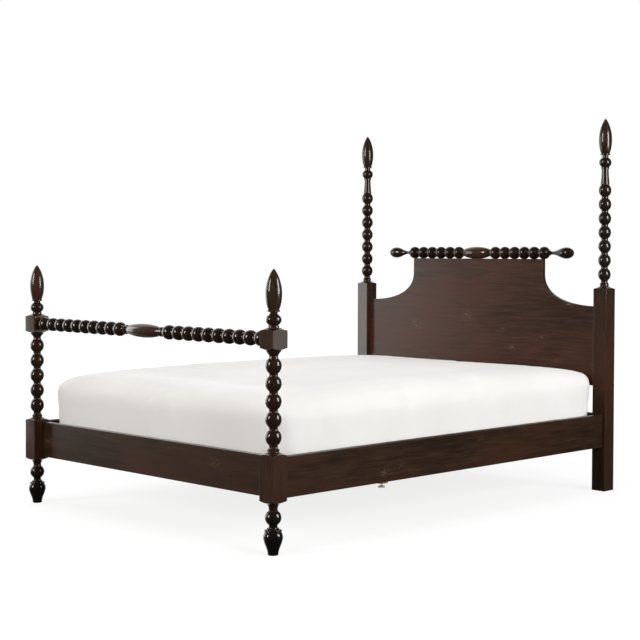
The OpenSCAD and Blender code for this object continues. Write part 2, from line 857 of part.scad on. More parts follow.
left_side() foot_post();  // foot_post_left
foot_post();  // foot_post_right
left_side() foot_finial();  // foot_finial_left
foot_finial();  // foot_finial_right
foot_rail_drilled();  // foot_rail
foot_spindle_rail();
left_side() head_leg();  // head_leg_left
head_leg();  // head_leg_right
left_side() head_post();  // head_post_left
head_post();  // head_post_right
left_side() head_finial();  // head_finial_left
head_finial();  // head_finial_right
head_rail_drilled();  // head_rail
headboard_panel();
headboard_roll();
color(pale_wood) roll_pegs();  // roll_dowels
color(pale_wood) both_sides() seam_dowels();  // leg_dowels
color(zinc) both_sides() seam_stud();  // leg_studs
left_side() side_rail();  // side_rail_left
side_rail();  // side_rail_right
left_side() side_ledger();  // side_ledger_left
side_ledger();  // side_ledger_right
left_side() color(zinc) rail_end(-1) hook_plate();  // rail_hook_foot_left
color(zinc) rail_end(-1) hook_plate();  // rail_hook_foot_right
left_side() color(zinc) rail_end(1) hook_plate();  // rail_hook_head_left
color(zinc) rail_end(1) hook_plate();  // rail_hook_head_right
left_side() color(zinc) rail_end(-1) slot_plate();  // post_plate_foot_left
color(zinc) rail_end(-1) slot_plate();  // post_plate_foot_right
left_side() color(zinc) rail_end(1) slot_plate();  // post_plate_head_left
color(zinc) rail_end(1) slot_plate();  // post_plate_head_right
plate_screws();
ledger_screws();
slat(1);  // slat_01
slat(2);  // slat_02
slat(3);  // slat_03
slat(4);  // slat_04
slat(5);  // slat_05
slat(6);  // slat_06
slat(7);  // slat_07
slat(8);  // slat_08
slat(9);  // slat_09
slat(10);  // slat_10
slat(11);  // slat_11
slat(12);  // slat_12
slat_screws();
centre_beam();
beam_end(-1) beam_bracket();  // beam_bracket_foot
beam_end(1) beam_bracket();  // beam_bracket_head
bracket_screws();
centre_leg(-centre_leg_y);  // centre_leg_foot
centre_leg(centre_leg_y);  // centre_leg_head
color(zinc) centre_leg_stud_set();  // centre_leg_studs
leg_inserts();
levelling_foot(-centre_leg_y);  // levelling_foot_foot
levelling_foot(centre_leg_y);  // levelling_foot_head
mattress();
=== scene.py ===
"""Looks for a four-poster bed: camera, studio, finishes and the mattress.

Every length is in metres, in the CAD model's frame: the origin is on the floor under the
bed's middle, +X is to the right seen from the foot, +Y runs from foot to head, +Z is up.
"""

import math

import bmesh
import bpy
import numpy as np
from mathutils import Matrix, Vector, noise


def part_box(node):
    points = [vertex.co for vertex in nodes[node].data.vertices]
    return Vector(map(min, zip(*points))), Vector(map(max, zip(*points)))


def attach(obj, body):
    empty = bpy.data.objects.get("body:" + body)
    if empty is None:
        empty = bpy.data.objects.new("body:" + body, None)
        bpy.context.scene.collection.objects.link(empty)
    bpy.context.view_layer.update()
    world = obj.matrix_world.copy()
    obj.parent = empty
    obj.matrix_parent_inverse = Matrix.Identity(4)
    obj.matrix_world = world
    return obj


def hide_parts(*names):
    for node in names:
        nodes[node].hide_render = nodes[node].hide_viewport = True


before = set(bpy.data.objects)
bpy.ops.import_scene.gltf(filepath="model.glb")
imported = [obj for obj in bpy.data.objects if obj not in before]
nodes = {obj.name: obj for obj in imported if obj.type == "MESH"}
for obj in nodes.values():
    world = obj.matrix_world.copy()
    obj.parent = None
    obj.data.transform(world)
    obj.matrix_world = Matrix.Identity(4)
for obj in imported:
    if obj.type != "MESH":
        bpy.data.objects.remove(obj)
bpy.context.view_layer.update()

SIDES = ("left", "right")
ENDS = ("foot", "head")

# ---- Camera and studio ----

CAMERA_PLACE = Vector((4.796, -4.547, 1.121))
CAMERA_YAW = math.radians(43.26)
CAMERA_TILT = math.radians(88.51)
CAMERA_ROLL = math.radians(0.30)
LIT_POINT = Vector((0.0, 0.0, 0.5))
WHITE = (1.0, 1.0, 1.0)
WARM_WHITE = (1.0, 0.94, 0.87)
BRIGHT_AZIMUTH = 150
BRIGHT_ELEVATION = 8
DARK_ROOM = 0.04
FLOOR_RADIUS = 40.0
FLOOR_GREY = 0.30
FLOOR_GLOW = 0.80
FLOOR_FADE_START = 1.5
FLOOR_FADE_END = 6.0


def add_camera():
    """The photograph's viewpoint. The shift stands for the crop of a wider picture."""
    data = bpy.data.cameras.new("camera")
    data.sensor_width = 36.0
    data.lens = 79.8
    data.shift_x = -0.1417
    data.shift_y = -0.0422
    camera = bpy.data.objects.new("camera", data)
    bpy.context.scene.collection.objects.link(camera)
    camera.matrix_world = (
        Matrix.Translation(CAMERA_PLACE)
        @ Matrix.Rotation(CAMERA_YAW, 4, "Z")
        @ Matrix.Rotation(CAMERA_TILT, 4, "X")
        @ Matrix.Rotation(CAMERA_ROLL, 4, "Z")
    )
    bpy.context.scene.camera = camera


def heading(azimuth, elevation):
    """Unit vector at an azimuth (from +X towards +Y) and an elevation, in degrees."""
    a, e = math.radians(azimuth), math.radians(elevation)
    return Vector((math.cos(e) * math.cos(a), math.cos(e) * math.sin(a), math.sin(e)))


def add_softbox(name, place, size, brightness, reflected=True, lit=True, colour=WHITE):
    """A soft rectangular light of the given brightness, turned towards the bed.

    It can be kept out of the reflections, or kept from lighting anything else."""
    data = bpy.data.lights.new(name, "AREA")
    data.shape = "RECTANGLE"
    data.size, data.size_y = size
    data.energy = brightness * math.pi * size[0] * size[1]
    data.color = colour
    light = bpy.data.objects.new(name, data)
    bpy.context.scene.collection.objects.link(light)
    light.location = place
    light.rotation_euler = (Vector(place) - LIT_POINT).to_track_quat("Z", "Y").to_euler()
    light.visible_glossy = reflected
    light.visible_diffuse = lit


def add_lights():
    """Two softboxes and two pale screens that show in the lacquer, and fills that do not."""
    add_softbox("softbox_foot", (-2.8, -10.0, 3.9), (2.0, 4.2), 14.0)
    add_softbox("softbox_side", (4.0, 0.9, 1.9), (1.1, 2.2), 12.0, lit=False)
    add_softbox("screen_left", (-4.4, -2.1, 1.30), (2.0, 3.1), 2.4)
    add_softbox("screen_right", (4.2, 1.9, 0.95), (1.6, 1.2), 0.9)
    add_softbox("fill_foot", (2.5, -8.0, 2.5), (6.0, 4.0), 3.7, reflected=False,
                colour=WARM_WHITE)
    add_softbox("fill_side", (8.0, 0.5, 2.5), (6.0, 4.0), 8.2, reflected=False)
    add_softbox("fill_above", (0.0, 0.1, 4.7), (3.5, 3.5), 1.8, reflected=False)


def add_surroundings():
    """White behind the bed, dark behind the camera, and plain white to the camera itself.

    The room is brightest within about 30 degrees of its bright side, and dark beyond 60."""
    world = bpy.data.worlds.new("studio")
    bpy.context.scene.world = world
    world.use_nodes = True
    tree = world.node_tree
    tree.nodes.clear()
    output = tree.nodes.new("ShaderNodeOutputWorld")
    direction = tree.nodes.new("ShaderNodeTexCoord")
    facing = add(tree, "ShaderNodeVectorMath", {"operation": "DOT_PRODUCT"},
                 {0: direction.outputs["Generated"],
                  1: heading(BRIGHT_AZIMUTH, BRIGHT_ELEVATION)})
    glow = remap(tree, facing.outputs["Value"], 0.45, 0.85, DARK_ROOM, 1.0)
    room = add(tree, "ShaderNodeBackground", {}, {"Strength": glow})
    seen = add(tree, "ShaderNodeBackground", {}, {"Strength": 1.0})
    for shader in (room, seen):
        shader.inputs["Color"].default_value = (*WHITE, 1.0)
    light_path = tree.nodes.new("ShaderNodeLightPath")
    choice = add(tree, "ShaderNodeMixShader", {},
                 {0: light_path.outputs["Is Camera Ray"], 1: room.outputs[0], 2: seen.outputs[0]})
    tree.links.new(choice.outputs[0], output.inputs["Surface"])


def add_floor():
    """A wide pale disc that fades into the white surroundings and lights nothing itself."""
    mesh = bpy.data.meshes.new("floor")
    bm = bmesh.new()
    bmesh.ops.create_circle(bm, cap_ends=True, radius=FLOOR_RADIUS, segments=96)
    bm.to_mesh(mesh)
    bm.free()
    floor = bpy.data.objects.new("floor", mesh)
    bpy.context.scene.collection.objects.link(floor)
    material, tree, shader = new_material("pale_floor")
    place = tree.nodes.new("ShaderNodeTexCoord")
    away = add(tree, "ShaderNodeVectorMath", {"operation": "LENGTH"},
               {0: place.outputs["Object"]})
    fill(tree, shader, {
        "Base Color": (FLOOR_GREY, FLOOR_GREY, FLOOR_GREY, 1.0),
        "Roughness": 0.8,
        "Specular IOR Level": 0.0,
        "Emission Color": (*WHITE, 1.0),
        "Emission Strength": remap(tree, away.outputs["Value"],
                                   FLOOR_FADE_START, FLOOR_FADE_END, FLOOR_GLOW, 1.0),
    })
    mesh.materials.append(material)
    floor.visible_glossy = False
    floor.visible_diffuse = False


# ---- Node helpers ----


def new_material(name):
    """A material with one Principled shader: returns the material, its tree and the shader."""
    material = bpy.data.materials.new(name)
    material.use_nodes = True
    tree = material.node_tree
    tree.nodes.clear()
    output = tree.nodes.new("ShaderNodeOutputMaterial")
    shader = tree.nodes.new("ShaderNodeBsdfPrincipled")
    tree.links.new(shader.outputs["BSDF"], output.inputs["Surface"])
    return material, tree, shader


def fill(tree, node, inputs):
    """Sets or links a node's inputs, given by name or number."""
    for key, value in inputs.items():
        socket = node.inputs[key]
        if isinstance(value, bpy.types.NodeSocket):
            tree.links.new(value, socket)
        else:
            socket.default_value = value


def add(tree, kind, settings, inputs):
    """A new node with its settings and inputs filled in."""
    node = tree.nodes.new(kind)
    for key, value in settings.items():
        setattr(node, key, value)
    fill(tree, node, inputs)
    return node


def math_node(tree, operation, first, second=0.0):
    """The result of a sum on two numbers or sockets."""
    return add(tree, "ShaderNodeMath", {"operation": operation}, {0: first, 1: second}).outputs[0]


def noise_node(tree, place, scale, detail=3.0, roughness=0.5, drift=None):
    """Smooth noise from 0 to 1; each 1 of drift moves through one feature of its depth."""
    node = add(tree, "ShaderNodeTexNoise", {"noise_dimensions": "4D" if drift else "3D"},
               {"Vector": place, "Scale": scale, "Detail": detail, "Roughness": roughness})
    if drift:
        fill(tree, node, {"W": math_node(tree, "DIVIDE", drift, scale)})
    return node.outputs[0]


def weighted(tree, parts):
    """Sum of (value, weight) pairs."""
    total = None
    for value, weight in parts:
        scaled = math_node(tree, "MULTIPLY", value, weight)
        total = scaled if total is None else math_node(tree, "ADD", total, scaled)
    return total


def remap(tree, value, low, high, new_low=0.0, new_high=1.0):
    """Takes low..high smoothly to new_low..new_high, and stops at both ends."""
    node = add(tree, "ShaderNodeMapRange", {"interpolation_type": "SMOOTHSTEP"},
               {"Value": value, "From Min": low, "From Max": high,
                "To Min": new_low, "To Max": new_high})
    return node.outputs["Result"]


def blend_colours(tree, amount, first, second, mode="MIX"):
    """first turns into second as amount goes from 0 to 1; both are colours or sockets."""
    node = add(tree, "ShaderNodeMix", {"data_type": "RGBA", "blend_type": mode},
               {"Factor": amount})
    for name, value in (("A", first), ("B", second)):
        socket = [s for s in node.inputs if s.name == name and s.type == "RGBA"][0]
        if isinstance(value, bpy.types.NodeSocket):
            tree.links.new(value, socket)
        else:
            socket.default_value = (*value, 1.0)
    return [s for s in node.outputs if s.type == "RGBA"][0]


def bump(tree, shader, height, distance, strength=1.0):
    """Relief of the given depth, in metres."""
    node = add(tree, "ShaderNodeBump", {},
               {"Height": height, "Distance": distance, "Strength": strength})
    tree.links.new(node.outputs["Normal"], shader.inputs["Normal"])


def place_axes(tree):
    """The X, Y and Z of a point on the surface, in the bed's frame."""
    place = tree.nodes.new("ShaderNodeTexCoord")
    return add(tree, "ShaderNodeSeparateXYZ", {}, {0: place.outputs["Object"]}).outputs


def stretched_place(tree, axis, along, through=None):
    """Object coordinates squeezed along one axis, so that textures run along it.

    A texture also goes straight through the wood along the axis named by through."""
    place = tree.nodes.new("ShaderNodeTexCoord")
    scale = [1.0, 1.0, 1.0]
    scale["XYZ".index(axis)] = along
    if through:
        scale["XYZ".index(through)] = 0.0
    mapping = add(tree, "ShaderNodeMapping", {},
                  {"Vector": place.outputs["Object"], "Scale": scale})
    return mapping.outputs["Vector"]


# ---- Finishes ----

# Stain colours, as linear red, green and blue
ESPRESSO_DARK = (0.017, 0.0085, 0.0045)
ESPRESSO_LIGHT = (0.047, 0.024, 0.013)
WALNUT_DARK = (0.026, 0.0110, 0.0060)
WALNUT_LIGHT = (0.062, 0.0265, 0.0140)
STAIN_FLECK = (0.13, 0.084, 0.058)
PINE_DARK = (0.50, 0.31, 0.15)
PINE_LIGHT = (0.72, 0.53, 0.32)
END_GRAIN_TINT = (0.46, 0.44, 0.42)
# Not a stain: the colour of the painted shade on the feet, near the floor
FOOT_SHADE = (0.0015, 0.0013, 0.001)

# Clear coats, as weight and roughness
GLOSSY_LACQUER = (1.0, 0.06)
SOFT_LACQUER = (1.0, 0.13)
SATIN_LACQUER = (0.5, 0.20)
RUBBED_LACQUER = (0.25, 0.20)
NO_LACQUER = (0.0, 0.5)

# How many growth rings a knot bends the grain through
KNOT_RINGS = 2.5

# Heights: the painted shade on a foot is full at the first and gone at the second, and its
# turning gives way to the post's square block between the last two
FOOT_SHADE_FULL = 0.08
FOOT_SHADE_END = 0.20
FOOT_TURNING_TOP = 0.14
LOWER_BLOCK_BOTTOM = 0.16

# A post's face is within FACE_TOLERANCE of its block's side, and its turned parts are at
# least TURNING_DEPTH inside it
FACE_TOLERANCE = 0.001
TURNING_DEPTH = 0.004

# Half lengths of the long swellings in the middle of the two turned bars, and how far inside
# and outside their ends the colour changes to that of the beads
SPINDLE_SWELLING = 0.1375
ROLL_SWELLING = 0.0924
SWELLING_FADE = 0.012
BEAD_FADE = 0.004

# Radius of the edges that show real wear and carry a painted highlight
EDGE_WEAR_AND_HIGHLIGHT_RADIUS = 0.003


def edge_wear_and_highlight(tree):
    """Near 1 on the edges of the wood and 0 on its open surfaces: where wear shows and a highlight
    is painted.
    """
    softened = add(tree, "ShaderNodeBevel", {"samples": 4}, {"Radius": EDGE_WEAR_AND_HIGHLIGHT_RADIUS})
    plain = tree.nodes.new("ShaderNodeNewGeometry")
    same = add(tree, "ShaderNodeVectorMath", {"operation": "DOT_PRODUCT"},
               {0: softened.outputs["Normal"], 1: plain.outputs["Normal"]})
    return remap(tree, same.outputs["Value"], 0.995, 0.9)


def knot_marks(tree, axis, through):
    """A few small knots: (how near a knot is, the knot's dark heart), both from 0 to 1.

    The colour of a cell of the Voronoi texture is random, and picks about half the cells."""
    cells = add(tree, "ShaderNodeTexVoronoi", {},
                {"Vector": stretched_place(tree, axis, 0.6, through), "Scale": 9.0})
    chosen = remap(tree, cells.outputs["Color"], 0.50, 0.56)
    near, heart = [
        math_node(tree, "MULTIPLY", remap(tree, cells.outputs["Distance"], reach, 0.02), chosen)
        for reach in (0.27, 0.06)
    ]
    return near, heart


def past_post_faces(tree):
    """1 on a post's turned parts and 0 on the flat faces of its square parts."""
    low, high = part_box("head_leg_right")
    middle = (low + high) / 2
    half_side = (high.x - low.x) / 2
    axes = place_axes(tree)
    reach = []
    for name, post_axis in (("X", middle.x), ("Y", middle.y)):
        place = math_node(tree, "ABSOLUTE", axes[name])
        reach.append(math_node(tree, "ABSOLUTE", math_node(tree, "SUBTRACT", place, post_axis)))
    farthest = math_node(tree, "MAXIMUM", *reach)
    flat = remap(tree, farthest, half_side - TURNING_DEPTH, half_side - FACE_TOLERANCE)
    above_foot = remap(tree, axes["Z"], FOOT_TURNING_TOP, LOWER_BLOCK_BOTTOM)
    return math_node(tree, "SUBTRACT", 1.0, math_node(tree, "MULTIPLY", flat, above_foot))


def past_middle(half_length):
    """1 on a turned bar's beads and 0 on the long swelling in its middle."""
    def mask(tree):
        from_middle = math_node(tree, "ABSOLUTE", place_axes(tree)["X"])
        return remap(tree, from_middle, half_length - SWELLING_FADE, half_length + BEAD_FADE)
    return mask


def near_floor(tree):
    """Mask of the painted shade: 1 at the floor, falling to 0 a little above the posts' feet."""
    return remap(tree, place_axes(tree)["Z"], FOOT_SHADE_END, FOOT_SHADE_FULL)


def wood_noises(tree, axis, rings):
    """The grain's lines, fibre, streaks and clouds; rings bends lines and streaks at knots."""
    lines = noise_node(tree, stretched_place(tree, axis, 0.04), 210.0, 2.0, 0.5, drift=rings)
    fibre = noise_node(tree, stretched_place(tree, axis, 0.02), 520.0, 3.0, 0.6)
    streak = noise_node(tree, stretched_place(tree, axis, 0.06), 60.0, 3.0, 0.65, drift=rings)
    cloud = noise_node(tree, stretched_place(tree, axis, 0.5), 3.2, 3.0, 0.6)
    return lines, fibre, streak, cloud


def grain_colour(tree, noises, dark, light, figure):
    """Darker and lighter bands, ruddy patches, dark pores and pale dashes.

    figure is how strongly the bands and dashes show."""
    lines, fibre, streak, cloud = noises
    half_range = 0.15 / figure
    tone = weighted(tree, ((lines, 0.34), (streak, 0.36), (cloud, 0.30)))
    tone = remap(tree, tone, 0.5 - half_range, 0.5 + half_range)
    colour = blend_colours(tree, tone, dark, light)
    ruddy = [dark[0] * 0.5 + light[0] * 0.85, light[1] * 0.72, light[2] * 0.62]
    colour = blend_colours(tree, remap(tree, cloud, 0.40, 0.72, 0.0, 0.75), colour, ruddy)
    pores = remap(tree, fibre, 0.55, 0.72, 0.0, 0.35)
    colour = blend_colours(tree, pores, colour, [0.4 * c for c in dark])
    dashes = math_node(tree, "MULTIPLY", remap(tree, lines, 0.60, 0.70, 0.0, 0.6), figure)
    dashes = math_node(tree, "MULTIPLY", dashes, remap(tree, streak, 0.45, 0.6))
    return blend_colours(tree, dashes, colour, [1.5 * c for c in light])


def fleck_halo(tree, axis, near, rings):
    """1 on the short pale flecks round a knot."""
    flecks = noise_node(tree, stretched_place(tree, axis, 0.22), 230.0, 2.0, 0.5, drift=rings)
    return math_node(tree, "MULTIPLY", near, remap(tree, flecks, 0.49, 0.64, 0.0, 1.5))


def stained_wood(name, axis, dark, light, roughness, lacquer, knots=0.0, through="Y", wear_and_highlight=0.0,
                 figure=1.0, fleck=None, end_grain=None, painted_foot_shade=0.0):
    """Stained wood with its grain along one axis of the bed's frame.

    lacquer is the (weight, roughness) of the clear coat over the stain. Knots go straight
    through the board along the axis named by through, with pale flecks round them if a fleck
    colour is given. end_grain makes a mask of the turned parts, whose open grain takes more
    stain. painted_foot_shade paints shade on the wood near the floor, darker towards it."""
    material, tree, shader = new_material(name)
    near, heart = [math_node(tree, "MULTIPLY", mark, knots)
                   for mark in knot_marks(tree, axis, through)]
    rings = math_node(tree, "MULTIPLY", near, KNOT_RINGS)
    noises = wood_noises(tree, axis, rings)
    lines, fibre, streak, cloud = noises
    colour = grain_colour(tree, noises, dark, light, figure)
    if fleck:
        colour = blend_colours(tree, fleck_halo(tree, axis, near, rings), colour, fleck)
    if knots:
        colour = blend_colours(tree, heart, colour, [0.35 * c for c in dark])
    if end_grain:
        steeped = blend_colours(tree, 1.0, colour, END_GRAIN_TINT, "MULTIPLY")
        colour = blend_colours(tree, end_grain(tree), colour, steeped)
    # Painted shade: the wood is darkened towards the floor, where the feet get little light
    if painted_foot_shade:
        shaded = math_node(tree, "MULTIPLY", near_floor(tree), painted_foot_shade)
        colour = blend_colours(tree, shaded, colour, FOOT_SHADE)
    # The edges are lightened, partly as real wear and partly as a painted highlight along them
    if wear_and_highlight:
        worn_and_lit = math_node(tree, "MULTIPLY", edge_wear_and_highlight(tree), wear_and_highlight)
        colour = blend_colours(tree, worn_and_lit, colour, [min(1.0, 2.4 * c) for c in light])
    coat_weight, coat_roughness = lacquer
    fill(tree, shader, {
        "Base Color": colour,
        "Roughness": remap(tree, streak, 0.3, 0.7, roughness, roughness + 0.1),
        "Specular IOR Level": 0.1,
        "Coat Weight": coat_weight,
        "Coat IOR": 1.58,
        "Coat Roughness": remap(tree, cloud, 0.3, 0.7, coat_roughness, 1.3 * coat_roughness),
    })
    bump(tree, shader, weighted(tree, ((fibre, 0.6), (lines, 0.4))), 0.0002, 0.5)
    return material


def zinc_plate():
    """Zinc-plated steel: dull grey crystals and fine scratches."""
    material, tree, shader = new_material("zinc_steel")
    place = stretched_place(tree, "Z", 1.0)
    cloud = noise_node(tree, place, 120.0, detail=4.0)
    scratch = noise_node(tree, stretched_place(tree, "Z", 0.05), 900.0, detail=2.0)
    fill(tree, shader, {
        "Base Color": blend_colours(tree, cloud, (0.50, 0.51, 0.53), (0.74, 0.75, 0.76)),
        "Metallic": 1.0,
        "Roughness": remap(tree, cloud, 0.3, 0.7, 0.30, 0.44),
    })
    bump(tree, shader, scratch, 0.00005, 0.6)
    return material


def moulded_plastic():
    """Pale plastic with a fine moulded texture."""
    material, tree, shader = new_material("foot_plastic")
    place = stretched_place(tree, "Z", 1.0)
    cloud = noise_node(tree, place, 30.0, detail=3.0)
    texture = noise_node(tree, place, 1800.0, detail=1.0)
    fill(tree, shader, {
        "Base Color": blend_colours(tree, cloud, (0.80, 0.80, 0.79), (0.88, 0.88, 0.87)),
        "Roughness": remap(tree, cloud, 0.3, 0.7, 0.42, 0.55),
    })
    bump(tree, shader, texture, 0.00008, 0.5)
    return material


def knitted_cover():
    """Fine white jersey: small knit loops, soft fuzz and a little yarn variation."""
    material, tree, shader = new_material("knitted_cover")
    place = tree.nodes.new("ShaderNodeTexCoord").outputs["Object"]
    loops = add(tree, "ShaderNodeTexVoronoi", {"feature": "SMOOTH_F1"},
                {"Vector": place, "Scale": 420.0, "Smoothness": 0.6, "Randomness": 0.35})
    yarn = noise_node(tree, place, 160.0, detail=3.0)
    broad = noise_node(tree, place, 3.0, detail=2.0)
    colour = blend_colours(tree, remap(tree, broad, 0.3, 0.7), (0.81, 0.80, 0.785),
                           (0.86, 0.853, 0.84))
    colour = blend_colours(tree, math_node(tree, "MULTIPLY", loops.outputs["Distance"], 0.25),
                           colour, (0.70, 0.69, 0.67))
    fill(tree, shader, {
        "Base Color": colour,
        "Roughness": remap(tree, yarn, 0.2, 0.8, 0.82, 0.95),
        "Specular IOR Level": 0.2,
        "Sheen Weight": 0.25,
        "Sheen Roughness": 0.5,
    })
    relief = math_node(tree, "ADD", math_node(tree, "MULTIPLY", yarn, 0.4),
                       math_node(tree, "MULTIPLY", loops.outputs["Distance"], -0.6))
    bump(tree, shader, relief, 0.0006, 0.5)
    return material


def finish_nodes(material, names):
    """Gives CAD nodes one finish."""
    for name in names:
        for slot in nodes[name].material_slots:
            slot.material = material


def shade(colours, factor):
    """Both colours of a stain, made darker by the same factor."""
    return tuple([factor * c for c in colour] for colour in colours)


def finish_frame():
    """Every CAD node's finish, with the grain along each piece of wood."""
    def both(stem):
        return [f"{stem}_{side}" for side in SIDES]

    espresso = (ESPRESSO_DARK, ESPRESSO_LIGHT)
    walnut = (WALNUT_DARK, WALNUT_LIGHT)
    finial = shade(espresso, 0.85)
    deep_espresso = shade(espresso, 0.86)
    pine = (PINE_DARK, PINE_LIGHT)
    posts = both("foot_post") + both("head_post")
    finish_nodes(stained_wood("espresso_upright", "Z", *espresso, 0.42, GLOSSY_LACQUER, wear_and_highlight=0.5,
                              end_grain=past_post_faces, painted_foot_shade=0.9), posts)
    finish_nodes(stained_wood("espresso_leg", "Z", *deep_espresso, 0.46, SATIN_LACQUER, wear_and_highlight=0.5),
                 both("head_leg"))
    for name, half_length in (("foot_spindle_rail", SPINDLE_SWELLING),
                              ("headboard_roll", ROLL_SWELLING)):
        finish_nodes(stained_wood(f"espresso_{name}", "X", *espresso, 0.42, GLOSSY_LACQUER,
                                  end_grain=past_middle(half_length)), [name])
    finish_nodes(stained_wood("espresso_cross_rail", "X", *espresso, 0.46, SATIN_LACQUER,
                              knots=0.6, fleck=STAIN_FLECK, wear_and_highlight=0.5),
                 ["foot_rail", "head_rail"])
    finish_nodes(stained_wood("espresso_side_rail", "Y", *deep_espresso, 0.46,
                              RUBBED_LACQUER, knots=0.7, through="X", fleck=STAIN_FLECK,
                              wear_and_highlight=0.5, figure=1.3), both("side_rail"))
    finish_nodes(stained_wood("walnut_panel", "X", *walnut, 0.46, SATIN_LACQUER,
                              knots=1.0, fleck=STAIN_FLECK, wear_and_highlight=0.5, figure=1.2),
                 ["headboard_panel"])
    finish_nodes(stained_wood("walnut_finial", "Z", *finial, 0.40, SOFT_LACQUER, figure=1.4),
                 both("foot_finial") + both("head_finial"))
    slats = [name for name in nodes if name.startswith("slat_") and name != "slat_screws"]
    finish_nodes(stained_wood("pine_slat", "X", *pine, 0.62, NO_LACQUER, knots=0.9,
                              through="Z"), slats)
    finish_nodes(stained_wood("pine_lengthwise", "Y", *pine, 0.62, NO_LACQUER, knots=0.9,
                              through="X"),
                 both("side_ledger") + ["centre_beam"])
    finish_nodes(stained_wood("pine_upright", "Z", *pine, 0.62, NO_LACQUER, knots=0.9),
                 ["centre_leg_foot", "centre_leg_head", "roll_dowels", "leg_dowels"])
    plates = [f"{stem}_{end}_{side}" for stem in ("rail_hook", "post_plate")
              for end in ENDS for side in SIDES]
    fixings = ["leg_studs", "plate_screws", "ledger_screws", "slat_screws", "bracket_screws",
               "beam_bracket_foot", "beam_bracket_head", "centre_leg_studs", "leg_inserts"]
    finish_nodes(zinc_plate(), plates + fixings)
    finish_nodes(moulded_plastic(), ["levelling_foot_foot", "levelling_foot_head"])


# ---- Mattress ----

COVER_INSET = 0.001
PLAN_CORNER_R = 0.060
TOP_EDGE_R = 0.058
BOTTOM_EDGE_R = 0.010
CROWN = 0.017
CROWN_POWER_ACROSS = 20
CROWN_POWER_ALONG = 2.5
CORNER_DROOP = 0.010
DROOP_REACH = 0.10
COVER_VOXEL = 0.016
SIM_FRAMES = 20
MOST_SWELL = 0.011
SMOOTH_PASSES = 2
PANEL_CLEARANCE = 0.002

# The cover's top is held a little, from HOLD_FROM inside the edge up to TOP_HOLD over HOLD_RISE
TOP_HOLD = 0.35
TOP_HOLD_DEPTH = 0.03
HOLD_FROM = 0.05
HOLD_RISE = 0.25

# Depths of the cover's creases, and how far they reach in from the edges and corners
BROAD_DEPTH = 0.0030
CREASE_DEPTH = 0.0022
FINE_TOP_DEPTH = 0.0016
FINE_SIDE_DEPTH = 0.0007
CORNER_DEPTH = 0.0075
EDGE_REACH = 0.22
CORNER_REACH = 0.16


def plan_ring(low, high, inset, corner_r, steps=10):
    """Rounded rectangle in plan, inset from the corners low and high."""
    radius = max(corner_r - inset, 0.004)
    points = []
    for corner, (sx, sy) in enumerate(((1, 1), (-1, 1), (-1, -1), (1, -1))):
        cx = (high.x if sx > 0 else low.x) - sx * (inset + radius)
        cy = (high.y if sy > 0 else low.y) - sy * (inset + radius)
        for i in range(steps + 1):
            angle = math.radians(90.0 * (corner + i / steps))
            points.append((cx + radius * math.cos(angle), cy + radius * math.sin(angle)))
    return points


def edge_profile(height, steps=8):
    """(inset, height) pairs from the bottom's edge to the top's edge, both rounded."""
    pairs = []
    for i in range(steps + 1):
        angle = math.radians(90.0 * i / steps)
        pairs.append((BOTTOM_EDGE_R * (1 - math.sin(angle)), BOTTOM_EDGE_R * (1 - math.cos(angle))))
    for i in range(steps + 1):
        angle = math.radians(90.0 * i / steps)
        pairs.append((TOP_EDGE_R * (1 - math.cos(angle)),
                      height - TOP_EDGE_R + TOP_EDGE_R * math.sin(angle)))
    return pairs


def mattress_core(low, high):
    """Closed, rounded block that the cover swells from."""
    bm = bmesh.new()
    rings = []
    for inset, z in edge_profile(high.z - low.z):
        ring = [bm.verts.new((x, y, low.z + z))
                for x, y in plan_ring(low, high, inset, PLAN_CORNER_R)]
        rings.append(ring)
    for lower, upper in zip(rings, rings[1:]):
        for i in range(len(lower)):
            j = (i + 1) % len(lower)
            bm.faces.new((lower[i], lower[j], upper[j], upper[i]))
    bm.faces.new(list(reversed(rings[0])))
    bm.faces.new(rings[-1])
    mesh = bpy.data.meshes.new("mattress_cover")
    bm.to_mesh(mesh)
    bm.free()
    cover = bpy.data.objects.new("mattress_cover", mesh)
    bpy.context.scene.collection.objects.link(cover)
    return cover


def apply_modifier(obj, modifier):
    """Makes what a modifier does to an object's mesh final."""
    bpy.context.view_layer.objects.active = obj
    obj.select_set(True)
    bpy.ops.object.modifier_apply(modifier=modifier.name)
    obj.select_set(False)


def remesh(obj, voxel):
    """Rebuilds an object's mesh from even faces about one voxel wide."""
    modifier = obj.modifiers.new("remesh", "REMESH")
    modifier.mode = "VOXEL"
    modifier.voxel_size = voxel
    apply_modifier(obj, modifier)


def smooth(obj, passes):
    """Evens out the small ripples that the cloth simulation leaves."""
    modifier = obj.modifiers.new("smooth", "SMOOTH")
    modifier.factor = 0.5
    modifier.iterations = passes
    apply_modifier(obj, modifier)


def read_points(mesh, what="co"):
    """The vertices' positions, or what else is named, as rows of three."""
    flat = np.empty(len(mesh.vertices) * 3)
    mesh.vertices.foreach_get(what, flat)
    return flat.reshape(-1, 3)


def write_points(mesh, points):
    """Moves the vertices to new positions, given as rows of three."""
    mesh.vertices.foreach_set("co", points.ravel())
    mesh.update()


def edge_distance(place, low, high):
    """How far a place is inside the nearest side of the box from low to high, in plan."""
    return min(place[0] - low.x, high.x - place[0], place[1] - low.y, high.y - place[1])


def hold(place, low, high):
    """How firmly the filling holds the cover: the bottom fully, the top's middle a little."""
    if place[2] < low.z + BOTTOM_EDGE_R:
        return 1.0
    if place[2] > high.z - TOP_HOLD_DEPTH:
        rise = (edge_distance(place, low, high) - HOLD_FROM) / HOLD_RISE
        return TOP_HOLD * min(1.0, max(0.0, rise))
    return 0.0


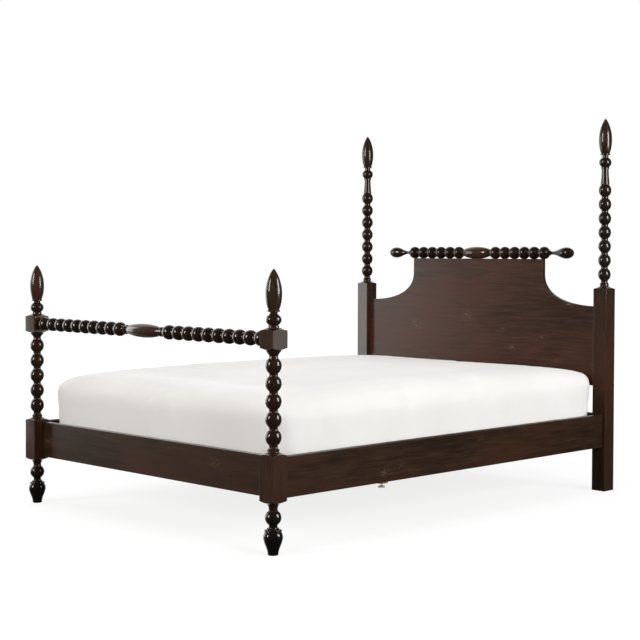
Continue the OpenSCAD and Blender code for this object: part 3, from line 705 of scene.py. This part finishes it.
def swell(cover, low, high):
    """Presses the cover outwards as cloth over its filling, then caps how far it went."""
    start = read_points(cover.data)
    held = cover.vertex_groups.new(name="held")
    for i, place in enumerate(start):
        held.add([i], hold(place, low, high), "REPLACE")
    modifier = cover.modifiers.new("cloth", "CLOTH")
    cloth = modifier.settings
    cloth.quality = 5
    cloth.mass = 0.3
    cloth.tension_stiffness = 15.0
    cloth.compression_stiffness = 15.0
    cloth.bending_stiffness = 0.5
    cloth.vertex_group_mass = "held"
    cloth.pin_stiffness = 1.0
    cloth.use_pressure = True
    cloth.uniform_pressure_force = 4.0
    cloth.shrink_min = -0.012
    cloth.effector_weights.gravity = 0.0
    scene = bpy.context.scene
    modifier.point_cache.frame_start = 1
    modifier.point_cache.frame_end = SIM_FRAMES
    for step in range(1, SIM_FRAMES + 1):
        scene.frame_set(step)
    apply_modifier(cover, modifier)
    scene.frame_set(1)
    cover.vertex_groups.clear()
    moved = read_points(cover.data) - start
    length = np.linalg.norm(moved, axis=1, keepdims=True)
    keep = np.tanh(length / MOST_SWELL) * MOST_SWELL / np.maximum(length, 1e-9)
    write_points(cover.data, start + moved * keep)


def settle(cover, low, high):
    """Crowns the top and lets its two corners at the foot droop."""
    middle = (low + high) / 2
    half = (high - low) / 2
    points = read_points(cover.data)
    for i, (x, y, z) in enumerate(points):
        up = max(0.0, (z - low.z) / (high.z - low.z))
        across = min(1.0, abs(x - middle.x) / half.x)
        along = min(1.0, abs(y - middle.y) / half.y)
        from_corner = math.hypot(abs(x - middle.x) - half.x, y - low.y)
        droop = CORNER_DROOP * math.exp(-((from_corner / DROOP_REACH) ** 2))
        crown = CROWN * (1 - across ** CROWN_POWER_ACROSS) * (1 - along ** CROWN_POWER_ALONG)
        points[i][2] = z + up * (crown - droop)
    write_points(cover.data, points)


def crease(place, waves, shift):
    """Noise from -1 to 1, so many waves a metre along each axis; shift picks the pattern."""
    x, y, z = (length * wave for length, wave in zip(place, waves))
    return noise.noise(Vector((x, y, z + shift)))


def crease_depth(place, low, high):
    """How far the cover stands out at a place. Near the foot's two corners, upright folds
    go in."""
    broad = BROAD_DEPTH * crease(place, (1.7, 1.5, 2.0), 3.0)
    fine = crease(place, (21.0, 17.0, 13.0), 0.0)
    if place[2] > high.z - TOP_EDGE_R:
        near_edge = math.exp(-max(edge_distance(place, low, high), 0.0) / EDGE_REACH)
        depth = CREASE_DEPTH * crease(place, (3.1, 7.3, 0.0), 5.0)
        depth += FINE_TOP_DEPTH * fine * near_edge
    else:
        depth = CREASE_DEPTH * crease(place, (11.0, 11.0, 2.2), 9.0)
        depth += FINE_SIDE_DEPTH * fine
    from_side = min(place[0] - low.x, high.x - place[0])
    near_corner = math.exp(-(math.hypot(from_side, place[1] - low.y) / CORNER_REACH) ** 2)
    upright = max(0.0, crease(place, (24.0, 24.0, 2.5), 1.0))
    return depth + broad - CORNER_DEPTH * near_corner * upright


def wrinkle(cover, low, high):
    """Moves every point of the cover along its normal by the depth of its creases."""
    points = read_points(cover.data)
    normals = read_points(cover.data, "normal")
    depth = np.array([crease_depth(place, low, high) for place in points])
    write_points(cover.data, points + normals * depth[:, None])


def flatten_head_end(cover):
    """Keeps the cover's head end clear of the headboard panel it lies against."""
    panel_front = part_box("headboard_panel")[0].y
    points = read_points(cover.data)
    points[:, 1] = np.minimum(points[:, 1], panel_front - PANEL_CLEARANCE)
    write_points(cover.data, points)


def add_mattress():
    """The loose mattress in its knitted cover, in the place of its CAD solid."""
    low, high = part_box("mattress")
    inset = Vector((COVER_INSET, COVER_INSET, 0.0))
    low, high = low + inset, high - inset
    cover = mattress_core(low, high)
    remesh(cover, COVER_VOXEL)
    swell(cover, low, high)
    smooth(cover, SMOOTH_PASSES)
    settle(cover, low, high)
    wrinkle(cover, low, high)
    flatten_head_end(cover)
    cover.data.polygons.foreach_set("use_smooth", [True] * len(cover.data.polygons))
    cover.data.materials.append(knitted_cover())
    subdivision = cover.modifiers.new("subdivision", "SUBSURF")
    subdivision.levels = subdivision.render_levels = 1
    cover.visible_glossy = False
    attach(cover, "mattress")
    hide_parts("mattress")


add_camera()
bpy.context.scene.view_settings.view_transform = "Standard"
add_surroundings()
add_floor()
add_lights()
finish_frame()
add_mattress()
